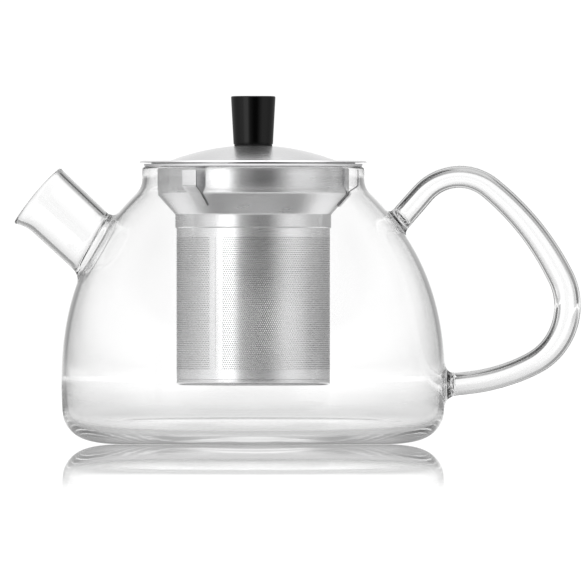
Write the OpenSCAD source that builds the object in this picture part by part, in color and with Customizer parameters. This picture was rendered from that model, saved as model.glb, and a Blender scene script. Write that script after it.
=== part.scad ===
// Glass teapot with a hanging steel tea strainer, three spring clips and a domed steel lid.
// Millimetres. Origin at the centre of the base, +Z up, spout towards -X, handle towards +X.

/* [Glass pot] */
// Height of the glass rim above the table
rim_h = 110.8; // [104:0.4:124]
// Widest diameter of the belly
belly_d = 153.8; // [144:0.2:166]
// Height at which the belly starts to close in
belly_h = 25.8; // [20:0.2:32]
// Diameter of the flat that the pot stands on
base_d = 108; // [90:1:124]
// Height of the rounded heel
heel_h = 18; // [12:0.5:20]
// Height of the heel curve's lower pull point
heel_rise = 6; // [3:0.5:9]
// Inset of the heel curve's outer pull point
heel_inset = 4.9; // [2:0.1:9]
// Outside diameter of the neck
neck_d = 89; // [84:0.2:96]
// Height of the straight neck
neck_h = 8; // [6:0.2:12]
// Slope of the shoulder where it reaches the neck, in degrees
shoulder_slope = 46; // [36:1:56]
// Length of the shoulder curve's pull at the belly
belly_pull = 47; // [36:0.5:52]
// Length of the shoulder curve's pull at the neck
neck_pull = 13.7; // [8:0.1:20]
// Thickness of the glass wall
glass_t = 1.9; // [1.4:0.1:2.6]
// Thickness of the glass floor
floor_t = 3; // [2:0.1:4]
// How far the rim is drawn in from the neck
rim_draw = 0.7; // [0.2:0.1:1]
// Height over which the rim is drawn in
rim_draw_h = 3.2; // [2:0.2:5]
// Radius of the fire-polished rim edges
rim_round = 0.4; // [0.2:0.05:0.5]

/* [Spout] */
// Outside diameter of the spout tube
spout_d = 26; // [20:0.5:30]
// Wall of the spout tube
spout_t = 1.8; // [1.4:0.1:2.6]
// Rise of the spout above level, in degrees
spout_rise = 43; // [35:1:50]
// Height at which the spout's axis leaves the belly
spout_root_h = 79.6; // [72:0.4:84]
// Length of the spout along its axis, from the belly to the mouth
spout_l = 31; // [27:0.2:43]
// Length of the pouring lip
lip_l = 8; // [5:0.5:11]
// How far the lip is pulled down at the mouth
lip_drop = 2.4; // [1:0.2:4]
// Tilt of the mouth, which cuts the underside back, in degrees
mouth_tilt = 3; // [0:1:10]
// Length of the weld fillet along the spout
spout_weld_l = 5.2; // [3:0.2:8]
// Growth of the spout's radius over the weld
spout_weld_flare = 3.2; // [1:0.2:5]

/* [Handle] */
// Outside diameter of the handle tube
handle_d = 10; // [8:0.2:13]
// Wall of the handle tube
handle_t = 1.6; // [1.2:0.1:2.4]
// Height at which the handle's upper end leaves the shoulder
handle_root_h = 88.4; // [82:0.4:92]
// Rise of the upper limb above level, in degrees
limb_rise = 48.8; // [40:0.4:55]
// Length of the straight upper limb
limb_l = 15.4; // [10:0.2:22]
// Radius of the crest bend
crest_r = 19.6; // [15:0.2:26]
// Turn of the crest bend, in degrees
crest_turn = 88; // [80:1:94]
// Radius of the long back curve
back_r = 110; // [80:2:160]
// Turn of the long back curve, in degrees
back_turn = 23.7; // [18:0.5:28]
// Radius of the lower bend
lower_r = 25.8; // [20:0.2:32]
// Turn of the lower bend, in degrees
lower_turn = 90.3; // [84:0.5:96]
// Radius of the curve that runs in to the belly
foot_r = 75.5; // [55:0.5:100]
// Turn of the curve that runs in to the belly, in degrees
foot_turn = 20.3; // [14:0.5:24]
// Length of the weld fillet at the handle's upper end
root_weld_l = 3; // [2:0.2:6]
// Growth of the handle's radius over the upper weld
root_weld_flare = 1.6; // [0.4:0.2:3]
// Length of the weld fillet at the handle's lower end
foot_weld_l = 4.4; // [2:0.2:6]
// Growth of the handle's radius over the lower weld
foot_weld_flare = 2.8; // [0.4:0.2:4]

/* [Strainer] */
// Diameter of the flange that rests on the glass rim
flange_d = 87.6; // [86.4:0.2:90]
// Thickness of the hemmed flange
flange_t = 1.2; // [0.8:0.1:2]
// Outside diameter of the collar's straight wall
collar_d = 76.2; // [72:0.2:77]
// Depth of the collar's straight wall below the rim
collar_l = 11; // [9:0.2:13]
// Depth of the cone between the collar and the sleeve
cone_l = 8; // [6:0.2:13]
// Length of the sleeve that holds the tube
sleeve_l = 6; // [5:0.2:9]
// Thickness of the collar's sheet steel
steel_t = 0.5; // [0.4:0.05:0.8]
// Outside diameter of the perforated tube
tube_d = 61.4; // [54:0.2:64]
// Thickness of the perforated tube's foil
foil_t = 0.3; // [0.2:0.05:0.5]
// Length of tube inside the sleeve
tube_lap = 4.5; // [3:0.1:5.5]
// Depth of the strainer's bottom below the rim
strainer_l = 87.6; // [70:0.4:98]
// Radius of the base cup's corner
cup_round = 2.4; // [1.6:0.1:4]
// Height of the cup's rim inside the tube
cup_lap = 2.5; // [1.5:0.1:4]

/* [Spring clips] */
// Width of a spring clip
clip_w = 6.7; // [4:0.1:9]
// Thickness of a spring clip
clip_t = 0.4; // [0.3:0.05:0.6]
// Gap between the clips and the inside of the glass neck
clip_gap = 0.5; // [0.4:0.05:1]
// Depth of a clip's upper end below the rim
clip_top_l = 1.4; // [1:0.1:3]
// Depth of a clip's lower end below the rim
clip_low_l = 15.4; // [13:0.2:17]
// Running gap between a clip and the cone that it lies along
clip_cone_gap = 0.1; // [0.05:0.05:0.2]
// Direction of the first clip, in degrees from the handle
clip_turn = 352.8; // [330:0.2:359.8]

/* [Lid] */
// Diameter of the lid
lid_d = 90.8; // [88:0.2:94]
// Thickness of the lid's sheet steel
lid_t = 0.6; // [0.4:0.05:1]
// Gap that the locating ring's foot leaves between lid and flange
lid_gap = 0.6; // [0.4:0.05:1.2]
// Diameter of the dome at its foot
dome_d = 67; // [56:0.5:70]
// Height of the dome
dome_h = 6.3; // [3:0.1:12]
// Depth of the locating ring inside the collar
ring_l = 7.5; // [4:0.1:9]
// Radial play between the locating ring and the collar
ring_play = 0.5; // [0.3:0.05:0.8]
// Width of the locating ring's foot
ring_foot = 3.7; // [2:0.1:5]

/* [Knob] */
// Diameter of the knob at the bottom
knob_low_d = 15.8; // [14:0.2:20]
// Diameter of the knob at the top
knob_top_d = 17.9; // [14:0.2:24]
// Height of the knob
knob_h = 19.4; // [14:0.2:30]
// Chamfer on the knob's edges
knob_edge = 0.4; // [0.2:0.1:0.8]
// Thickness of the soft washer under the knob
pad_t = 0.7; // [0.4:0.1:1.5]
// Inset of the soft washer from the knob's edge
pad_inset = 0.3; // [0:0.1:1]
// Nominal diameter of the screw
screw_d = 4; // [3:0.5:5]
// Radial play of the screw in the lid and the washers
screw_play = 0.2; // [0.1:0.05:0.4]
// Depth that the screw reaches into the insert
screw_reach = 8; // [5:0.5:9]
// Length of the threaded insert
insert_l = 10; // [9.5:0.5:13]
// Wall of the threaded insert
insert_wall = 1.5; // [1:0.1:2]
// Diameter of the screw's head
head_d = 7.6; // [7:0.2:9]
// Height of the screw's head
head_h = 2.4; // [2:0.1:4]
// Width of the slots in the screw's head
slot_w = 1; // [0.6:0.1:1.4]
// Depth of the slots in the screw's head
slot_l = 1.2; // [0.6:0.1:1.6]
// Diameter of the washer under the screw's head
washer_d = 11; // [10:0.5:13]
// Thickness of the washer under the screw's head
washer_t = 0.8; // [0.5:0.1:1.2]

/* [Hidden] */

$fn = 96;
GLASS = [0.86, 0.91, 0.93, 0.35];
STEEL = [0.72, 0.72, 0.73];
FOIL = [0.62, 0.62, 0.63];
BLACK = [0.04, 0.04, 0.045];
BRASS = [0.78, 0.62, 0.32];
SILICONE = [0.12, 0.12, 0.12];
PAST = 1;                  // how far a cut runs past the face that it opens
HEEL_STEPS = 10;           // straight steps in the heel curve
SHOULDER_STEPS = 22;       // straight steps in the shoulder curve
DOME_STEPS = 12;           // straight steps across the dome
ARC_STEPS = 6;             // straight steps in a small rounded edge
LIP_FN = 48;               // sides of the pouring lip
LIP_DISC = 0.1;            // thickness of the discs that the pouring lip is drawn between
BEAD = 0.04;               // how far a joint stands proud of the tube that it joins
BURY = 0.2;                // how far a weld's thin end sinks into its tube
CLIP_COUNT = 3;

// Glass pot
base_r = base_d / 2;
belly_r = belly_d / 2;
neck_r = neck_d / 2;
bore_r = neck_r - glass_t;
neck_low = rim_h - neck_h;

function bezier(p, t) =
    pow(1 - t, 3) * p[0] + 3 * pow(1 - t, 2) * t * p[1] + 3 * (1 - t) * t * t * p[2] + pow(t, 3) * p[3];
function bezier_points(p, steps) = [for (i = [0:steps]) bezier(p, i / steps)];
function arc_points(centre, r, from, to, steps) =
    [for (i = [0:steps]) let (a = from + (to - from) * i / steps) centre + r * [cos(a), sin(a)]];

heel_curve = [[base_r, 0], [belly_r - heel_inset, 0], [belly_r, heel_rise], [belly_r, heel_h]];
shoulder_curve = [[belly_r, belly_h],
                  [belly_r, belly_h + belly_pull],
                  [neck_r + neck_pull * cos(shoulder_slope), neck_low - neck_pull * sin(shoulder_slope)],
                  [neck_r, neck_low]];
outside = concat(bezier_points(heel_curve, HEEL_STEPS),
                 bezier_points(shoulder_curve, SHOULDER_STEPS),
                 [[neck_r, rim_h - rim_draw_h]]);
rim_out_r = neck_r - rim_draw;
rim_outside = arc_points([rim_out_r - rim_round, rim_h - rim_round], rim_round, 0, 90, ARC_STEPS);
rim_inside = arc_points([bore_r + rim_round, rim_h - rim_round], rim_round, 90, 180, ARC_STEPS);

function unit(v) = v / norm(v);
function tangent(i) = unit(outside[min(i + 1, len(outside) - 1)] - outside[max(i - 1, 0)]);
function outward(i) = [tangent(i)[1], -tangent(i)[0]];
function wall_at(z) = glass_t + (floor_t - glass_t) * pow(max(0, 1 - z / heel_h), 2);
function inside_point(i) = outside[i] - wall_at(outside[i][1]) * outward(i);
function radius_at(z) = lookup(z, [for (p = outside) [p[1], p[0]]]);
inside = [for (i = [len(outside) - 2:-1:0]) inside_point(i)];

module pot_solid() {
    rotate_extrude() polygon(concat([[0, 0]], outside, rim_outside, [[0, rim_h]]));
}

module glass_body() {
    color(GLASS) difference() {
        rotate_extrude()
            polygon(concat([[0, 0]], outside, rim_outside, rim_inside, inside, [[0, floor_t]]));
        in_spout_frame() translate([0, 0, -spout_d / 2])
            cylinder(h = spout_d, r = spout_d / 2 - spout_t);
    }
}

// Spout: a straight tube in its own frame, with +Z out along its axis and -X at its underside
spout_r = spout_d / 2;
spout_root_r = radius_at(spout_root_h);
lip_start = spout_l - lip_l;

module in_spout_frame() {
    translate([-spout_root_r, 0, spout_root_h]) rotate([0, spout_rise - 90, 0]) children();
}

// A tube's outer or inner form whose mouth is tilted, and wider on the underside by lip_drop
module lip_form(r, past) {
    grow = lip_drop / 2 * (lip_l + past) / lip_l;
    hull() {
        translate([0, 0, lip_start - LIP_DISC]) cylinder(h = LIP_DISC, r = r + BEAD, $fn = LIP_FN);
        translate([-grow, 0, spout_l + past]) rotate([0, -mouth_tilt, 0])
            translate([0, 0, -LIP_DISC]) cylinder(h = LIP_DISC, r = r + BEAD + grow, $fn = LIP_FN);
    }
}

module spout() {
    color(GLASS) difference() {
        in_spout_frame() {
            translate([0, 0, -spout_r]) cylinder(h = spout_r + lip_start, r = spout_r);
            translate([0, 0, -spout_weld_l])
                cylinder(h = 2 * spout_weld_l, r1 = spout_r + spout_weld_flare, r2 = spout_r - BURY);
            lip_form(spout_r, 0);
        }
        pot_solid();
        in_spout_frame() {
            translate([0, 0, -spout_d]) cylinder(h = spout_d + lip_start, r = spout_r - spout_t);
            lip_form(spout_r - spout_t, PAST);
        }
    }
}

// Handle: a limb, four bends and a foot in the XZ plane, each starting where the last one ends.
// A place on the route is [x, z, heading], and every bend turns clockwise as seen from -Y.
function run(p, l) = [p[0] + l * cos(p[2]), p[1] + l * sin(p[2]), p[2]];
function bend_centre(p, r) = [p[0] + r * sin(p[2]), p[1] - r * cos(p[2])];
function bend(p, r, turn) =
    let (c = bend_centre(p, r), h = p[2] - turn) [c[0] - r * sin(h), c[1] + r * cos(h), h];

handle_root = [radius_at(handle_root_h), handle_root_h, limb_rise];
crest_start = run(handle_root, limb_l);
back_start = bend(crest_start, crest_r, crest_turn);
lower_start = bend(back_start, back_r, back_turn);
foot_start = bend(lower_start, lower_r, lower_turn);
foot_end = bend(foot_start, foot_r, foot_turn);
foot_run = -foot_end[0] / cos(foot_end[2]);
foot_gap = (radius_at(foot_end[1]) - foot_end[0]) / cos(foot_end[2]);
limb_inside = handle_root[0] / 2;

module along(p) {
    translate([p[0], 0, p[1]]) rotate([0, 90 - p[2], 0]) children();
}

module bend_form(p, bend_r, turn, r) {
    c = bend_centre(p, bend_r);
    translate([c[0], 0, c[1]]) rotate([90, 0, 0]) rotate([0, 0, p[2] + 90 - turn])
        rotate_extrude(angle = turn) translate([bend_r, 0]) circle(r = r);
}

module handle_form(r) {
    along(run(handle_root, -limb_inside)) cylinder(h = limb_inside + limb_l, r = r);
    bend_form(crest_start, crest_r, crest_turn, r);
    bend_form(back_start, back_r, back_turn, r);
    bend_form(lower_start, lower_r, lower_turn, r);
    bend_form(foot_start, foot_r, foot_turn, r);
    along(foot_end) cylinder(h = foot_run, r = r);
    // A ball at each joint, a hair wider than the tube, makes one solid of the bends
    for (p = [crest_start, back_start, lower_start, foot_start, foot_end])
        translate([p[0], 0, p[1]]) sphere(r = r + BEAD);
}

module handle() {
    color(GLASS) difference() {
        union() {
            handle_form(handle_d / 2);
            along(run(handle_root, -root_weld_l))
                cylinder(h = 2 * root_weld_l, r1 = handle_d / 2 + root_weld_flare, r2 = handle_d / 2 - BURY);
            along(run(foot_end, foot_gap - foot_weld_l))
                cylinder(h = 2 * foot_weld_l, r1 = handle_d / 2 - BURY, r2 = handle_d / 2 + foot_weld_flare);
        }
        handle_form(handle_d / 2 - handle_t);
        pot_solid();
    }
}

// Strainer
flange_r = flange_d / 2;
flange_top = rim_h + flange_t;
collar_r = collar_d / 2;
tube_r = tube_d / 2;
sleeve_r = tube_r + steel_t;
collar_low = rim_h - collar_l;
cone_low = collar_low - cone_l;
sleeve_low = cone_low - sleeve_l;
cone_turn = atan2(collar_r - sleeve_r, cone_l);
cone_mitre = steel_t * tan(cone_turn / 2);
strainer_low = rim_h - strainer_l;
cup_top = strainer_low + cup_round;

module infuser_collar() {
    hem = arc_points([flange_r - flange_t / 2, rim_h + flange_t / 2], flange_t / 2, 90, -90, 2 * ARC_STEPS);
    color(STEEL) rotate_extrude()
        polygon(concat(hem,
                       [[collar_r, rim_h],
                        [collar_r, collar_low],
                        [sleeve_r, cone_low],
                        [sleeve_r, sleeve_low],
                        [tube_r, sleeve_low],
                        [tube_r, cone_low + cone_mitre],
                        [collar_r - steel_t, collar_low + cone_mitre],
                        [collar_r - steel_t, flange_top]]));
}

module infuser_tube() {
    tube_l = sleeve_low + tube_lap - cup_top;
    color(FOIL) translate([0, 0, cup_top]) difference() {
        cylinder(h = tube_l, r = tube_r);
        translate([0, 0, -PAST]) cylinder(h = tube_l + 2 * PAST, r = tube_r - foil_t);
    }
}

module infuser_base() {
    corner = [tube_r - cup_round, cup_top];
    lap_r = tube_r - foil_t;
    color(STEEL) rotate_extrude()
        polygon(concat([[0, strainer_low]],
                       arc_points(corner, cup_round, -90, 0, ARC_STEPS),
                       [[lap_r, cup_top],
                        [lap_r, cup_top + cup_lap],
                        [lap_r - steel_t, cup_top + cup_lap]],
                       arc_points(corner, cup_round - foil_t - steel_t, 0, -60, ARC_STEPS),
                       [[corner[0] - steel_t, strainer_low + steel_t],
                        [0, strainer_low + steel_t]]));
}

// Spring clips: a strip that lies along the cone, runs on past the collar's corner to a knee, and
// stands upright from there in the gap between the collar and the glass neck
clip_r = bore_r - clip_gap;
clip_top = rim_h - clip_top_l;
clip_low = rim_h - clip_low_l;
clip_mitre = clip_t * tan(cone_turn / 2);
clip_in = [-cos(cone_turn), sin(cone_turn)];
function cone_line(r, off) = [r, cone_low + (r - sleeve_r) / tan(cone_turn) - off / sin(cone_turn)];
clip_out = clip_cone_gap + clip_t;
clip_knee = cone_line(clip_r, clip_out);
clip_low_r = sleeve_r + (clip_low - cone_low) * tan(cone_turn) + clip_out / cos(cone_turn);

module spring_clip(turn) {
    low = [clip_low_r, clip_low];
    color(STEEL) rotate([0, 0, turn]) translate([0, clip_w / 2, 0]) rotate([90, 0, 0])
        linear_extrude(height = clip_w)
            polygon([[clip_r, clip_top],
                     clip_knee,
                     low,
                     low + clip_t * clip_in,
                     clip_knee + [-clip_t, clip_mitre],
                     [clip_r - clip_t, clip_top]]);
}

module spring_clip_right() {
    spring_clip(clip_turn);
}

module spring_clip_front() {
    spring_clip(clip_turn - 360 / CLIP_COUNT);
}

module spring_clip_back() {
    spring_clip(clip_turn + 360 / CLIP_COUNT);
}

// Lid
lid_r = lid_d / 2;
dome_r = dome_d / 2;
lid_low = flange_top + lid_gap;
lid_top = lid_low + lid_t;
dome_ball_r = (dome_r * dome_r + dome_h * dome_h) / (2 * dome_h);
function dome_z(r) = lid_top + dome_h - dome_ball_r + sqrt(dome_ball_r * dome_ball_r - r * r);
seat_r = knob_low_d / 2 + pad_t;
seat_z = dome_z(seat_r);
screw_r = screw_d / 2;
screw_hole_r = screw_r + screw_play;

module lid_plate() {
    dome = [for (i = [0:DOME_STEPS]) let (r = seat_r + (dome_r - seat_r) * i / DOME_STEPS) [r, dome_z(r)]];
    under = [for (i = [DOME_STEPS:-1:0]) dome[i] - [0, lid_t]];
    color(STEEL) rotate_extrude()
        polygon(concat([[screw_hole_r, seat_z]], dome, [[lid_r, lid_top], [lid_r, lid_low]],
                       under, [[screw_hole_r, seat_z - lid_t]]));
}

module lid_locating_ring() {
    ring_r = collar_r - steel_t - ring_play;
    color(STEEL) rotate_extrude()
        polygon([[ring_r + ring_foot, lid_low],
                 [ring_r - steel_t, lid_low],
                 [ring_r - steel_t, flange_top - ring_l],
                 [ring_r, flange_top - ring_l],
                 [ring_r, flange_top],
                 [ring_r + ring_foot, flange_top]]);
}

// Knob and its fixing
knob_low_r = knob_low_d / 2;
knob_top_r = knob_top_d / 2;
knob_z = seat_z + pad_t;
insert_r = screw_r + insert_wall;
washer_z = seat_z - lid_t - washer_t;

module knob() {
    color(BLACK) translate([0, 0, knob_z]) rotate_extrude()
        polygon([[insert_r, 0],
                 [knob_low_r - knob_edge, 0],
                 [knob_low_r, knob_edge],
                 [knob_top_r, knob_h - knob_edge],
                 [knob_top_r - knob_edge, knob_h],
                 [0, knob_h],
                 [0, insert_l],
                 [insert_r, insert_l]]);
}

module ring(r_out, r_in, h) {
    difference() {
        cylinder(h = h, r = r_out);
        translate([0, 0, -PAST]) cylinder(h = h + 2 * PAST, r = r_in);
    }
}

module knob_insert() {
    color(BRASS) translate([0, 0, knob_z]) ring(insert_r, screw_r, insert_l);
}

module knob_washer() {
    color(SILICONE) translate([0, 0, seat_z]) ring(knob_low_r - pad_inset, screw_hole_r, pad_t);
}

module screw_washer() {
    color(STEEL) translate([0, 0, washer_z]) ring(washer_d / 2, screw_hole_r, washer_t);
}

module knob_screw() {
    color(STEEL) translate([0, 0, washer_z]) difference() {
        union() {
            translate([0, 0, -head_h]) cylinder(h = head_h, r = head_d / 2);
            cylinder(h = knob_z + screw_reach - washer_z, r = screw_r);
        }
        for (turn = [0, 90])
            rotate([0, 0, turn])
                translate([-head_d / 4, -slot_w / 2, -head_h - PAST]) cube([head_d / 2, slot_w, slot_l + PAST]);
    }
}

glass_body();
spout();
handle();
infuser_collar();
infuser_tube();
infuser_base();
spring_clip_right();
spring_clip_front();
spring_clip_back();
lid_plate();
lid_locating_ring();
knob();
knob_insert();
knob_washer();
knob_screw();
screw_washer();
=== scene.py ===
"""Dresses the glass teapot: fused glass, sheet steel, a perforated strainer, a domed lid and a black knob.

Lengths in the mesh code are in millimetres. Z is the pot's axis, the spout is on -X and the handle on +X.
"""

import math

import bpy
import bmesh
import numpy as np
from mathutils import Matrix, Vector
from mathutils.geometry import delaunay_2d_cdt


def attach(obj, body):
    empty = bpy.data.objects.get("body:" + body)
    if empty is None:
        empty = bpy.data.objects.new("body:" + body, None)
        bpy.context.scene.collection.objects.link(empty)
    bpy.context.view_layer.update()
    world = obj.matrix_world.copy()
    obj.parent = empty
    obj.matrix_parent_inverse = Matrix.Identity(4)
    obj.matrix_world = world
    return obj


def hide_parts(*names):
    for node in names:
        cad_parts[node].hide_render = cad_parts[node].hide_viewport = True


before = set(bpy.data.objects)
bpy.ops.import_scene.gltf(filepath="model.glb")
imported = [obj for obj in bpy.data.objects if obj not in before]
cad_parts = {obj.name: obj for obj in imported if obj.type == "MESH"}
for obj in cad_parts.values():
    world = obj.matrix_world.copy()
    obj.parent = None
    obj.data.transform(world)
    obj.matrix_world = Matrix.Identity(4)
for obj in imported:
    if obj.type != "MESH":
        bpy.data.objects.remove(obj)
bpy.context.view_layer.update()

MM = 0.001
TAU = 2 * math.pi


# ---------------------------------------------------------------- shader trees

class Tree:
    """The node tree of a material or of the world, with short calls for the nodes that are used here."""

    def __init__(self, owner):
        owner.use_nodes = True
        self.nodes, self.links = owner.node_tree.nodes, owner.node_tree.links

    def fill(self, node, inputs):
        """Sets each input to its constant, or joins it to the output that is given for it."""
        for name, value in inputs.items():
            if isinstance(value, bpy.types.NodeSocket):
                self.links.new(value, node.inputs[name])
            else:
                node.inputs[name].default_value = value

    def add(self, kind, inputs=None, **settings):
        node = self.nodes.new("ShaderNode" + kind)
        for name, value in settings.items():
            setattr(node, name, value)
        self.fill(node, inputs or {})
        return node

    def math(self, operation, *values):
        return self.add("Math", dict(enumerate(values)), operation=operation).outputs[0]

    def place(self):
        return self.add("TexCoord").outputs["Object"]

    def from_axis(self):
        """The distance from the Z axis."""
        flat = self.add("VectorMath", {0: self.place(), 1: (1, 1, 0)}, operation="MULTIPLY")
        return self.add("VectorMath", {0: flat.outputs[0]}, operation="LENGTH").outputs["Value"]

    def lathe_marks(self, around, across=2600.0):
        """Coordinates that change slowly round the Z axis and fast across it, as the marks of a lathe do."""
        x, y, z = self.add("SeparateXYZ", {0: self.place()}).outputs
        radius = self.math("SQRT", self.math("ADD", self.math("MULTIPLY", x, x), self.math("MULTIPLY", y, y)))
        flat = self.add("CombineXYZ", {0: x, 1: y}).outputs[0]
        turn = self.add("SeparateXYZ", {0: self.add("VectorMath", {0: flat}, operation="NORMALIZE").outputs[0]})
        return self.add("CombineXYZ", {
            0: self.math("MULTIPLY", turn.outputs[0], around),
            1: self.math("MULTIPLY", turn.outputs[1], around),
            2: self.math("MULTIPLY", self.math("SUBTRACT", radius, z), across)}).outputs[0]

    def noise(self, vector, scale, detail, rough):
        inputs = {"Vector": vector, "Scale": scale, "Detail": detail, "Roughness": rough}
        return self.add("TexNoise", inputs).outputs["Fac"]

    def step(self, value, start, end, low, high, kind="SMOOTHSTEP"):
        """low up to start and high from end on."""
        inputs = {"Value": value, "From Min": start, "From Max": end, "To Min": low, "To Max": high}
        return self.add("MapRange", inputs, interpolation_type=kind).outputs["Result"]

    def spread(self, value, low, high):
        """Draws the middle of a noise out to the range from low to high."""
        return self.step(value, 0.3, 0.7, low, high, "LINEAR")

    def ramp(self, value, stops):
        """Grey levels at (place, level) stops, with the places from 0 to 1."""
        node = self.add("ValToRGB", {"Fac": value})
        levels = node.color_ramp.elements
        while len(levels) < len(stops):
            levels.new(0.5)
        for element, (place, level) in zip(levels, stops):
            element.position = place
            element.color = (level, level, level, 1)
        return node.outputs["Color"]

    def mixed(self, kind, first, *layers):
        """The first value, replaced in turn by the value of each (share, value) that follows."""
        for share, value in layers:
            first = self.add("Mix", {"Factor": share, "A": first, "B": value}, data_type=kind).outputs["Result"]
        return first

    def travel(self):
        """What a ray has been through, each 0 or 1.

        plain: no reflection. entered: plain and into glass. turned: reflected inside a wall of glass.
        thick: plain and through one piece of solid glass. The last is 1 for the camera's own rays.
        """
        path = self.add("LightPath").outputs
        plain = self.math("LESS_THAN", self.math("ADD", path["Glossy Depth"], path["Diffuse Depth"]), 0.5)
        walls = path["Transmission Depth"]
        two = self.math("COMPARE", walls, 2.0, 0.5)
        entered = self.math("MULTIPLY", plain, self.math("GREATER_THAN", walls, 0.5))
        turned = self.math("MULTIPLY", two, self.math("SUBTRACT", 1.0, plain))
        return plain, entered, turned, self.math("MULTIPLY", two, plain), path["Is Camera Ray"]


# ---------------------------------------------------------------- materials

def new_material(name):
    mat = bpy.data.materials.new(name)
    tree = Tree(mat)
    return mat, tree, tree.nodes["Principled BSDF"]


def steel(name, tone, rough, aniso, bump, inner=None):
    """Turned sheet steel: fine rings round the axis in its roughness, colour and relief.

    inner is the radius within which the sheet's colour is scaled down to 0.15: painted shade for the inside of
    the strainer, which also makes its holes read dark.
    """
    mat, tree, shader = new_material(name)
    marks = tree.noise(tree.lathe_marks(2.0), 1.0, 4.0, 0.6)
    cloud = tree.noise(tree.place(), 60.0, 2.0, 0.5)
    both = tree.math("MULTIPLY_ADD", marks, 0.6, tree.math("MULTIPLY", cloud, 0.4))
    tint = tree.mixed("RGBA", (tone * 0.96, tone * 0.96, tone * 0.965, 1),
                      (tree.spread(both, 0.0, 1.0), (tone * 1.03, tone * 1.03, tone * 1.04, 1)))
    if inner:
        # Painted shade: within the radius inner the colour drops to 0.15 of its tone.
        painted_shade_inside = tree.step(tree.from_axis(), inner - 0.1 * MM, inner, 0.15, 1.0, "LINEAR")
        tint = tree.add("VectorMath", {0: tint, "Scale": painted_shade_inside}, operation="SCALE").outputs[0]
    relief = tree.add("Bump", {"Strength": bump, "Distance": 0.02 * MM, "Height": marks})
    grain = tree.add("Tangent", direction_type="RADIAL", axis="Z")
    tree.fill(shader, {
        "Metallic": 1.0, "Anisotropic": aniso, "Anisotropic Rotation": 0.25, "Base Color": tint,
        "Roughness": tree.spread(both, *rough), "Normal": relief.outputs["Normal"],
        "Tangent": grain.outputs["Tangent"]})
    return mat


def clear_glass():
    mat, tree, shader = new_material("clear_glass")
    tree.fill(shader, {"Base Color": (1.0, 1.0, 1.0, 1), "Roughness": 0.0, "IOR": 1.47,
                       "Transmission Weight": 1.0})
    return mat


def black_plastic():
    mat, tree, shader = new_material("black_knob")
    place = tree.place()
    grain = tree.noise(place, 2500.0, 2.0, 0.5)
    relief = tree.add("Bump", {"Strength": 0.04, "Distance": 0.03 * MM, "Height": grain})
    tree.fill(shader, {
        "Base Color": (0.002, 0.002, 0.002, 1), "IOR": 1.3, "Normal": relief.outputs["Normal"],
        "Roughness": tree.spread(tree.noise(place, 900.0, 3.0, 0.6), 0.06, 0.10)})
    return mat


def silicone():
    mat, tree, shader = new_material("black_silicone")
    rough = tree.spread(tree.noise(tree.place(), 1500.0, 3.0, 0.6), 0.55, 0.75)
    tree.fill(shader, {"Base Color": (0.012, 0.012, 0.012, 1), "Roughness": rough})
    return mat


def brass():
    mat, tree, shader = new_material("insert_brass")
    rough = tree.spread(tree.noise(tree.lathe_marks(1.0), 1.0, 3.0, 0.5), 0.2, 0.35)
    tree.fill(shader, {"Metallic": 1.0, "Base Color": (0.72, 0.52, 0.22, 1), "Roughness": rough})
    return mat


GLASS = clear_glass()
STEEL = steel("brushed_steel", 0.77, (0.25, 0.28), 0.7, 0.04)
LID_STEEL = steel("lid_steel", 0.68, (0.24, 0.28), 0.6, 0.05)
# The strainer's foil, with painted shade inside the radius of 30.6 mm.
FOIL = steel("perforated_foil", 0.84, (0.25, 0.29), 0.6, 0.0, inner=30.6 * MM)
SPRING = steel("spring_steel", 0.86, (0.20, 0.28), 0.4, 0.1)
# A brighter copy of the steel: a painted highlight for the white lines along the lid's rim and the collar's
# hem.
PAINTED_HIGHLIGHT_STEEL = steel("painted_highlight_rim", 0.98, (0.30, 0.40), 0.0, 0.05)
# A near-black copy of the steel: painted shade for the dark lines along the clips' cut sides.
PAINTED_DARK_EDGE = steel("painted_shade_edge", 0.03, (0.45, 0.60), 0.0, 0.1)
BLACK = black_plastic()
SILICONE = silicone()
BRASS = brass()


# ---------------------------------------------------------------- mesh helpers, in millimetres

def piece(name, verts, faces, material, body, nodes=()):
    """A visible piece on a body of the frame, in the place of the named nodes."""
    mesh = bpy.data.meshes.new(name)
    mesh.from_pydata([tuple(float(c) * MM for c in v) for v in verts], [], [tuple(f) for f in faces])
    mesh.update()
    mesh.shade_smooth()
    mesh.set_sharp_from_angle(angle=math.radians(38))
    mesh.materials.append(material)
    obj = bpy.data.objects.new(name, mesh)
    bpy.context.scene.collection.objects.link(obj)
    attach(obj, body)
    if nodes:
        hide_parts(*nodes)
    return obj


def paint_rim_highlight(obj, material, where):
    """Gives a second material to the faces for whose middle where(r, z) holds; here it is the painted highlight
    on the rims.
    """
    obj.data.materials.append(material)
    for face in obj.data.polygons:
        x, y, z = face.center / MM
        if where(math.hypot(x, y), z):
            face.material_index = 1


def bezier(p, n):
    """n steps along the cubic curve of four points."""
    t = np.linspace(0, 1, n + 1)[:, None]
    p = np.asarray(p, float)
    return (1 - t) ** 3 * p[0] + 3 * (1 - t) ** 2 * t * p[1] + 3 * (1 - t) * t * t * p[2] + t ** 3 * p[3]


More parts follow.
